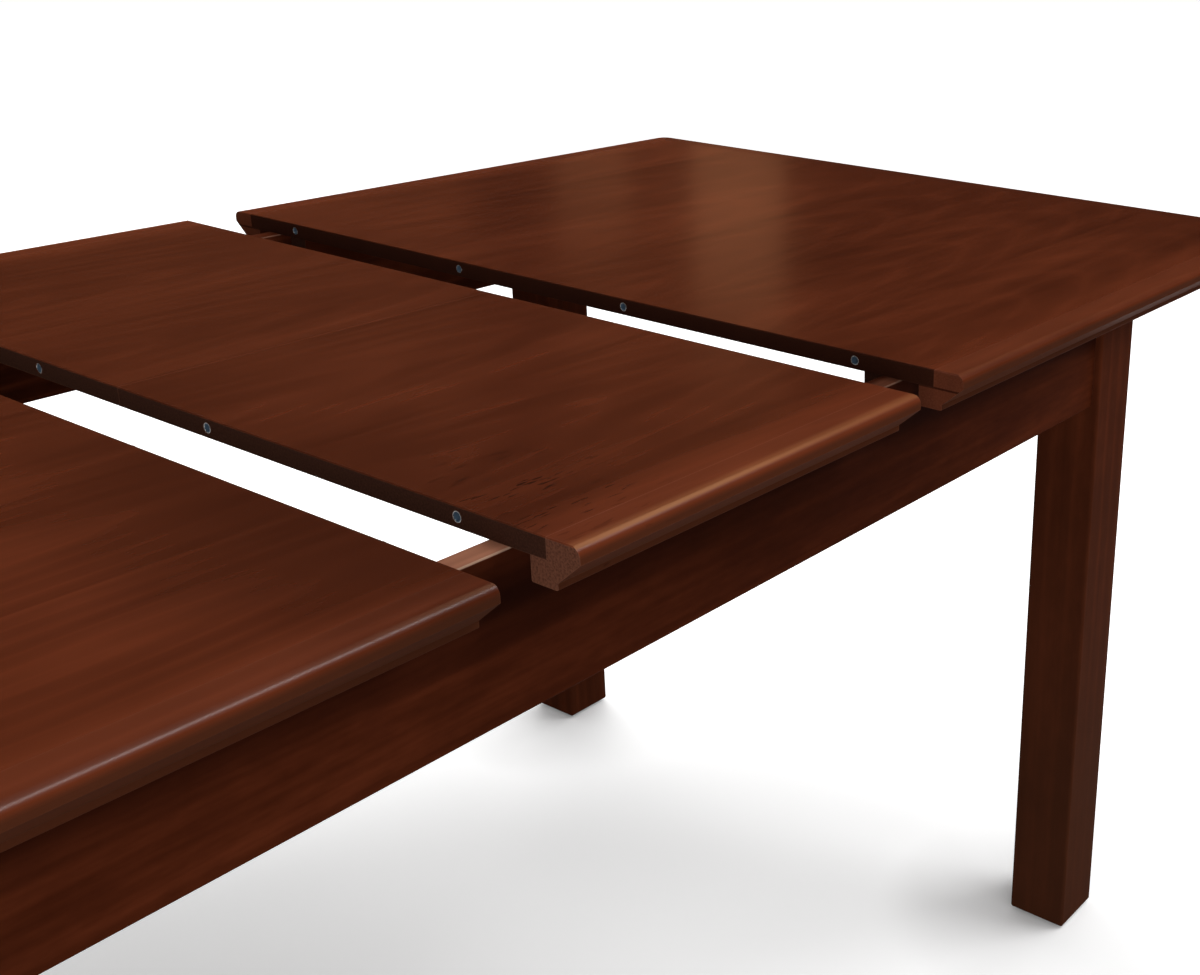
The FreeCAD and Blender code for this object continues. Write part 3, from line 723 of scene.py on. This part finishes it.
def runner_screw(material):
    """A countersunk wood screw with a cross recess, its head at the place."""
    tree = Fitting("runner_screw", "Head Radius", "Head Height", "Shank", "Thread", "Pitch", "Tip",
                   "Length", "Recess Width", "Recess Reach", "Recess Depth")
    given = tree.given
    head = tree.turned(given["Head Radius"], given["Shank"], 0.0, given["Head Height"])
    depth = tree.times(given["Recess Depth"], 2.0)
    bars = []
    for size in ((given["Recess Width"], given["Recess Reach"], depth),
                 (given["Recess Reach"], given["Recess Width"], depth)):
        bar = tree.node("GeometryNodeMeshCube")
        tree.feed(bar.inputs["Size"], tree.join(*size))
        bars.append(bar.outputs["Mesh"])
    tip_start = tree.math("SUBTRACT", given["Length"], given["Tip"])
    shank = tree.turned(given["Shank"], given["Shank"], given["Head Height"],
                        tree.math("SUBTRACT", tip_start, given["Head Height"]), 20)
    tip = tree.turned(given["Shank"], SCREW_POINT, tip_start, given["Tip"], 20)
    start = tree.times(given["Head Height"], 3.0)
    thread = tree.screwed(given["Shank"], given["Thread"], given["Pitch"], start,
                          tree.math("SUBTRACT", tip_start, start))
    return tree.finish(tree.together(tree.less(head, *bars), shank, tip, thread), material)


def solids_of(node):
    """The corners of each separate solid in a node."""
    copy = bmesh.new()
    copy.from_mesh(nodes[node].data)
    bmesh.ops.remove_doubles(copy, verts=copy.verts, dist=SAME_POINT)
    waiting = set(copy.verts)
    solids = []
    while waiting:
        reached = [waiting.pop()]
        for corner in reached:
            for edge in corner.link_edges:
                other = edge.other_vert(corner)
                if other in waiting:
                    waiting.remove(other)
                    reached.append(other)
        solids.append([corner.co.copy() for corner in reached])
    copy.free()
    return solids


def fitting_places(node, axis_at):
    """Where each solid of a node starts along its axis, with the axis, and the solids' length and
    radius."""
    places = []
    for corners in solids_of(node):
        low, high = (Vector(pick(c[i] for c in corners) for i in range(3)) for pick in (min, max))
        middle = (low + high) / 2
        axis = axis_at(middle)
        reach = [(corner - middle).dot(axis) for corner in corners]
        radius = max((corner - middle - axis * r).length for corner, r in zip(corners, reach))
        length = max(reach) - min(reach)
        places.append((middle + axis * min(reach), axis))
    places.sort(key=lambda place: tuple(place[0]))
    return places, length, radius


def set_fittings(fitting, node, places, sizes):
    """Makes the fittings that stand for a node, as one plain mesh on the node's own body."""
    mesh = bpy.data.meshes.new(node + "_places")
    mesh.from_pydata([start for start, axis in places], [], [])
    axes = mesh.attributes.new("axis", "FLOAT_VECTOR", "POINT")
    for entry, (start, axis) in zip(axes.data, places):
        entry.vector = axis
    marks = bpy.data.objects.new(node + "_places", mesh)
    bpy.context.scene.collection.objects.link(marks)
    maker = marks.modifiers.new("fittings", "NODES")
    maker.node_group = fitting.tree
    for size, value in sizes.items():
        maker[fitting.keys[size]] = value
    seen = marks.evaluated_get(bpy.context.evaluated_depsgraph_get())
    made = bpy.data.meshes.new_from_object(seen)
    bpy.data.objects.remove(marks)
    shape = bmesh.new()
    shape.from_mesh(made)
    bmesh.ops.recalc_face_normals(shape, faces=shape.faces)
    shape.to_mesh(made)
    shape.free()
    made.shade_smooth()
    made.set_sharp_from_angle(angle=math.radians(SMOOTH_ANGLE))
    piece = bpy.data.objects.new(node + "_turned", made)
    bpy.context.scene.collection.objects.link(piece)
    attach(piece, nodes[node]["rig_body"])
    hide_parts(node)


def leftward(middle):
    """The way out of a socket."""
    return Vector((-1.0, 0.0, 0.0))


def upward(middle):
    """The way up a screw from its head."""
    return Vector((0.0, 0.0, 1.0))


def inward(middle):
    """The way from a leg to the middle of the table."""
    return Vector((-math.copysign(1.0, middle.x), -math.copysign(1.0, middle.y), 0.0)).normalized()


def make_fittings():
    """Sockets, bolts, washers, nuts and screws in place of their plain solids."""
    steel = brushed_metal("bright_steel", (0.58, 0.57, 0.55), 0.28)
    cup = edge_socket(plated_cup("plated_socket"))
    for node in ("right_top_sockets", "leaf_front_sockets", "leaf_back_sockets"):
        places, length, radius = fitting_places(node, leftward)
        set_fittings(cup, node, places, {"Radius": radius, "Wall": SOCKET_WALL, "Length": length})
    places, length, radius = fitting_places("hanger_bolts", inward)
    set_fittings(hanger_bolt(steel), "hanger_bolts", places, {
        "Radius": radius, "Thread": THREAD_DEPTH, "Length": length,
        "Wood Pitch": BOLT_WOOD_PITCH, "Wood Length": BOLT_WOOD_LENGTH,
        "Fine Pitch": BOLT_FINE_PITCH, "Fine Length": BOLT_FINE_LENGTH,
    })
    places, length, radius = fitting_places("bolt_washers", inward)
    set_fittings(bolt_washer(steel), "bolt_washers", places, {
        "Radius": radius, "Bore": WASHER_BORE, "Thickness": length, "Rounding": WASHER_ROUNDING,
    })
    places, length, radius = fitting_places("bolt_nuts", inward)
    set_fittings(bolt_nut(steel), "bolt_nuts", places, {
        "Radius": radius, "Bore": WASHER_BORE, "Height": length,
    })
    screw = runner_screw(steel)
    for node in ("left_runner_screws", "right_runner_screws"):
        places, length, radius = fitting_places(node, upward)
        set_fittings(screw, node, places, {
            "Head Radius": radius, "Head Height": SCREW_HEAD_HEIGHT, "Shank": SCREW_SHANK,
            "Thread": SCREW_THREAD, "Pitch": SCREW_PITCH, "Tip": SCREW_TIP, "Length": length,
            "Recess Width": RECESS_WIDTH, "Recess Reach": RECESS_REACH, "Recess Depth": RECESS_DEPTH,
        })
    for node in ("left_top_pins", "leaf_front_pins", "leaf_back_pins"):
        dress(node, steel)


def dress(node, material):
    """Gives a node one finish all over."""
    slots = nodes[node].data.materials
    slots.clear()
    slots.append(material)


def dress_half(side, seed, rim, end_bare, layer_level, deeper, dark_stain_and_shade):
    """A half of the top: a veneered panel, and edge strips whose figure runs on from it."""
    shared = {"lacquer": TOP_LACQUER, "pale_rim": rim, "end_bare": end_bare, "worn": 0.12, "deeper": deeper}
    dress(side + "_top_panel",
          stained_wood(side + "_veneer", "X", seed, TOP_VENEER, end_pale=0.05, dark_stain_and_shade=dark_stain_and_shade, **shared))
    # The edge strips get painted shade, greyish as a reflection of the floor, on faces that don't look up
    strip = stained_wood(side + "_long_strip", "X", seed, TOP_VENEER, gloss=0.31, end_pale=0.62,
                         layer_level=layer_level, painted_underside_shade=0.6, **shared)
    dress(side + "_top_edge_front", strip)
    dress(side + "_top_edge_back", strip)
    dress(side + "_top_edge_end",
          stained_wood(side + "_end_strip", "Y", seed + 5.1, lacquer=TOP_LACQUER, gloss=0.24, end_pale=0.5,
                       painted_underside_shade=0.6))


def dress_leaf():
    """The leaf: veneered panels and edge strips, with flecks by its left front corner."""
    shared = {
        "lacquer": TOP_LACQUER,
        "pale_rim": 0.48,
        "deeper": (((-LEAF_EDGE, -0.25), (0.13, 0.42), 0.16), ((LEAF_EDGE, -0.2), (0.10, 0.4), 0.08)),
        "flecked": (((-0.135, -0.37), (0.11, 0.15), 0.9),),
    }
    panel = stained_wood("leaf_veneer", "X", 7, LEAF_VENEER, end_pale=0.05, **shared)
    # The leaf's strip gets a painted golden highlight where its nose turns, and painted shade on faces that
    # don't look up
    strip = stained_wood("leaf_strip", "X", 7, LEAF_VENEER, gloss=0.26, end_pale=0.62, painted_nose_highlight=0.22,
                         painted_underside_shade=0.6, **shared)
    for half in ("front", "back"):
        dress("leaf_" + half + "_panel", panel)
        dress("leaf_" + half + "_edge", strip)


def dress_tops():
    """Both halves of the top, darker and paler in patches, and the leaf."""
    left_patches = (
        ((-MEETING_EDGE, -0.36), (0.17, 0.42), 0.46),
        ((-0.48, -0.15), (0.32, 0.34), -0.22),
    )
    right_patches = (
        ((0.32, 0.26), (0.24, 0.22), -0.22),
        ((0.62, -0.28), (0.24, 0.26), -0.16),
        ((0.80, -0.40), (0.16, 0.12), 0.12),
        ((0.38, -0.30), (0.22, 0.20), -0.16),
    )
    dark_edge = (((MEETING_EDGE, 0.0, 0.7525), (0.0016, WHOLE, WHOLE), 0.85),)
    dress_half("left", 1, 0.26, 1.0, None, left_patches, ())
    dress_half("right", 2, 0.34, 0.3, cad_high[2] - PANEL_THICKNESS, right_patches, dark_edge)
    dress_leaf()


def dress_legs():
    """Legs with upright grain, browner in front, and the corner blocks behind them."""
    for seed, place in enumerate(("front_left", "front_right", "back_left", "back_right")):
        umber = 0.6 if place.startswith("front") else 0.25
        dress("leg_" + place,
              stained_wood("leg_wood_" + place, "Z", 10 + seed, figure=1.2, rings=1.6, pith=(0.0, 0.0),
                           curl=0.7, umber=umber))
        dress("corner_block_" + place,
              stained_wood("block_wood_" + place, "Y", 20 + seed, shade=0.12, roughness=0.65))


def dress_aprons():
    """Aprons with level grain and a lively figure, with painted shade under the tops, and rubbed wear
    with painted light along the upper edge.
    """
    shared = {"figure": 1.3, "curl": 1.0, "umber": 0.12}
    # Painted shade under the tops' overhang and on the front apron's right, and painted light on its left
    painted_shade_under_tops = ((0.0, 0.0, 0.714), (WHOLE, WHOLE, 0.028), 0.9)
    painted_shade_right = ((0.14, -0.42, 0.69), (0.62, WHOLE, WHOLE), 0.48)
    painted_light_left = ((-0.31, -0.42, 0.65), (0.16, WHOLE, WHOLE), -0.09)
    dress("apron_front",
          stained_wood("apron_wood_front", "X_on_edge", 30, shade=0.03, rings=1.6, pith=(0.665, -0.40),
                       rubbed_and_lit_top=0.50, painted_shadow_above=OVERHANG_SHADOW_LEVEL, deeper=(painted_light_left,),
                       dark_stain_and_shade=(painted_shade_under_tops, painted_shade_right), **shared))
    dress("apron_back",
          stained_wood("apron_wood_back", "X_on_edge", 31, shade=0.03, rings=3.6, pith=(0.69, 0.40),
                       rubbed_and_lit_top=0.20, dark_stain_and_shade=(painted_shade_under_tops,), **shared))
    for seed, side in enumerate(("left", "right")):
        dress("apron_" + side + "_end",
              stained_wood("end_apron_wood_" + side, "Y_on_edge", 34 + seed, shade=0.05, rings=3.6,
                           pith=(0.67, 0.0), **shared))


def dress_inside():
    """The rougher wood inside, the glides and the hinge barrels."""
    for seed, side in enumerate(("left", "right")):
        dress("leaf_bearer_" + side,
              stained_wood("bearer_wood_" + side, "Y", 38 + seed, shade=0.12, roughness=0.65))
        for way in ("front", "back"):
            dress(side + "_runner_" + way,
                  stained_wood(side + "_runner_wood_" + way, "X", 42 + seed, shade=0.14, roughness=0.6))
    dress("apron_dowels", stained_wood("dowel_wood", "X", 50, roughness=0.7))
    dress("foot_glides", moulded_nylon("brown_nylon", (0.022, 0.013, 0.009)))
    brass = brushed_metal("hinge_brass", (0.60, 0.42, 0.18), 0.32)
    dress("leaf_front_hinge_barrels", brass)
    dress("leaf_back_hinge_barrels", brass)


def floor_paper():
    """Pale paper that glows white away from the table, with a painted shadow under its middle where the
    glow is weaker, and painted shadows that fall inwards from the feet. Light that it returns to the table
    comes off a plain grey."""
    finish = Finish("floor_paper")
    finish.tree.nodes.remove(finish.shader)
    returned = finish.node("ShaderNodeBsdfDiffuse")
    returned.inputs["Color"].default_value = FLOOR_RETURNED
    paper = finish.node("ShaderNodeBsdfDiffuse")
    paper.inputs["Color"].default_value = FLOOR_SEEN

    x, y = finish.split(finish.place)[:2]
    # A painted shadow: the glow is weaker under the table's middle and towards its left
    offsets = [finish.math("SUBTRACT", axis, m) for axis, m in zip((x, y), FLOOR_SHADOW_MIDDLE)]
    away = finish.step(finish.far(*offsets), *FLOOR_SHADOW_REACH)
    middle = finish.times(finish.step(x, *FLOOR_SHADOW_SIDE), finish.math("SUBTRACT", 1.0, away))
    lit = finish.weighted(((away, FLOOR_GLOW_AWAY), (middle, FLOOR_SHADOW_DEEPENING)))
    outward = finish.node("ShaderNodeVectorMath", operation="NORMALIZE")
    sideways = finish.math("MULTIPLY_ADD", y, 1.1, -0.2)
    finish.feed(outward.inputs[0], finish.join(x, sideways, FOOT_SHADOW_RISE))
    nearby = finish.node("ShaderNodeAmbientOcclusion", samples=8)
    nearby.inputs["Distance"].default_value = FOOT_SHADOW_REACH
    finish.feed(nearby.inputs["Normal"], outward.outputs[0])
    open_sky = finish.math("POWER", nearby.outputs["AO"], FOOT_SHADOW_DEPTH)
    open_sky = finish.math("MULTIPLY_ADD", open_sky, 1.0 - FOOT_SHADOW_LEAST, FOOT_SHADOW_LEAST)
    glow = finish.node("ShaderNodeEmission")
    glow.inputs["Color"].default_value = (*WHITE, 1.0)
    finish.feed(glow.inputs["Strength"], finish.times(finish.math("ADD", lit, FLOOR_GLOW), open_sky))

    shown = finish.node("ShaderNodeAddShader")
    finish.feed(shown.inputs[0], paper.outputs[0])
    finish.feed(shown.inputs[1], glow.outputs[0])
    path = finish.node("ShaderNodeLightPath")
    seen = finish.math("MAXIMUM", path.outputs["Is Camera Ray"], path.outputs["Is Glossy Ray"])
    seen = finish.math("MAXIMUM", seen, path.outputs["Is Transmission Ray"])
    chosen = finish.node("ShaderNodeMixShader")
    finish.feed(chosen.inputs[0], seen)
    finish.feed(chosen.inputs[1], returned.outputs[0])
    finish.feed(chosen.inputs[2], shown.outputs[0])
    finish.feed(finish.tree.nodes["Material Output"].inputs["Surface"], chosen.outputs[0])
    return finish.material


def white_floor():
    """A wide pale floor."""
    r = FLOOR_REACH
    mesh = bpy.data.meshes.new("floor")
    mesh.from_pydata([(-r, -r, 0.0), (r, -r, 0.0), (r, r, 0.0), (-r, r, 0.0)], [], [(0, 1, 2, 3)])
    mesh.materials.append(floor_paper())
    floor = bpy.data.objects.new("floor", mesh)
    bpy.context.scene.collection.objects.link(floor)


def studio_world():
    """A dim studio, white below the horizon, with a low warm glow behind the table and one dark
    upright gap in it."""
    world = bpy.data.worlds.new("studio")
    bpy.context.scene.world = world
    world.use_nodes = True
    sheet = NodeSheet(world.node_tree)
    x, y, z = sheet.split(sheet.node("ShaderNodeTexCoord").outputs["Generated"])
    azimuth = sheet.math("ARCTAN2", y, x)
    behind = sheet.times(sheet.step(azimuth, *map(math.radians, GLOW_RISE)),
                         sheet.step(azimuth, *map(math.radians, GLOW_FALL)))
    from_gap = sheet.math("ABSOLUTE", sheet.math("SUBTRACT", azimuth, math.radians(GLOW_GAP)))
    beside_gap = sheet.step(from_gap, *map(math.radians, GLOW_GAP_EDGE))
    glow = sheet.times(behind, beside_gap, sheet.step(z, *GLOW_TOP))
    studio = sheet.mix(glow, STUDIO_DIM, STUDIO_GLOW)
    shown = sheet.mix(sheet.step(z, *HORIZON), studio, WHITE)
    sheet.feed(sheet.tree.nodes["Background"].inputs["Color"], shown)


def soft_panel(name, place, target, size, power, colour=WHITE, mirrored=False):
    """A rectangular soft light that faces a target. A mirrored one only shows in the lacquer, and the
    others only light the table."""
    lamp = bpy.data.lights.new(name, "AREA")
    lamp.shape = "RECTANGLE"
    lamp.size, lamp.size_y = size
    lamp.energy = power
    lamp.color = colour
    light = bpy.data.objects.new(name, lamp)
    light.location = place
    aim = Vector(target) - Vector(place)
    light.rotation_euler = aim.to_track_quat("-Z", "Y").to_euler()
    light.visible_camera = False
    light.visible_glossy = mirrored
    light.visible_diffuse = not mirrored
    bpy.context.scene.collection.objects.link(light)


def studio_lights():
    """One broad panel overhead and softer ones from the right, from the camera's side and from behind. In
    the lacquer alone, two panels low behind the table for the soft streaks in the right half, and strips
    above for the lit noses."""
    middle = (0.0, 0.0, 0.7)
    soft_panel("overhead", (0.3, 0.0, CEILING), (0.3, 0.01, 0.7), (3.4, 3.4), 65.0)
    soft_panel("key_right", (2.7, -3.1, 4.4), middle, (2.6, 2.6), 115.0)
    soft_panel("camera_side", (-2.8, -2.8, 1.6), middle, (2.0, 2.0), 60.0)
    soft_panel("back_fill", (2.6, 3.4, 2.2), middle, (2.2, 2.2), 36.0)

    far_half = (0.57, 0.08, 0.76)
    soft_panel("streak_bright", (5.19, 3.96, 2.12), far_half, (0.46, 1.02), 0.58, WARM, True)
    soft_panel("streak_faint", (4.70, 4.48, 1.85), far_half, (0.35, 0.6), 0.12, WARM, True)
    for name, x, y, size, power, colour in (
            ("leaf_nose_warm", 2.5, -0.2, (0.9, 2.6), 35.0, GOLDEN),
            ("leaf_nose_cool", 2.1, -2.05, (0.8, 0.4), 6.0, COOL),
            ("left_nose", 0.35, -1.8, (3.3, 0.26), 58.0, PALE)):
        soft_panel(name, (x, y, CEILING), (x, y, 0.0), size, power, colour, True)


def table_camera():
    """The camera at the photograph's place and angle."""
    camera = bpy.data.cameras.new("camera")
    camera.sensor_fit = "HORIZONTAL"
    camera.sensor_width = SENSOR_WIDTH
    camera.lens = FOCAL_PIXELS / IMAGE_WIDTH * SENSOR_WIDTH
    camera.shift_x = -CENTRE_RIGHT_PIXELS / IMAGE_WIDTH
    camera.shift_y = CENTRE_DOWN_PIXELS / IMAGE_WIDTH
    camera.clip_end = SIGHT_LIMIT
    view = bpy.data.objects.new("camera", camera)
    turn = Matrix.Rotation(math.radians(-CAMERA_HEADING), 4, "Z")
    tip = Matrix.Rotation(math.radians(90.0 + CAMERA_PITCH), 4, "X")
    roll = Matrix.Rotation(math.radians(CAMERA_ROLL), 4, "Z")
    view.matrix_world = Matrix.Translation(CAMERA_PLACE) @ turn @ tip @ roll
    bpy.context.scene.collection.objects.link(view)
    bpy.context.scene.camera = view


bpy.context.scene.view_settings.view_transform = "Standard"
dress_tops()
dress_legs()
dress_aprons()
dress_inside()
make_fittings()
white_floor()
studio_world()
studio_lights()
table_camera()
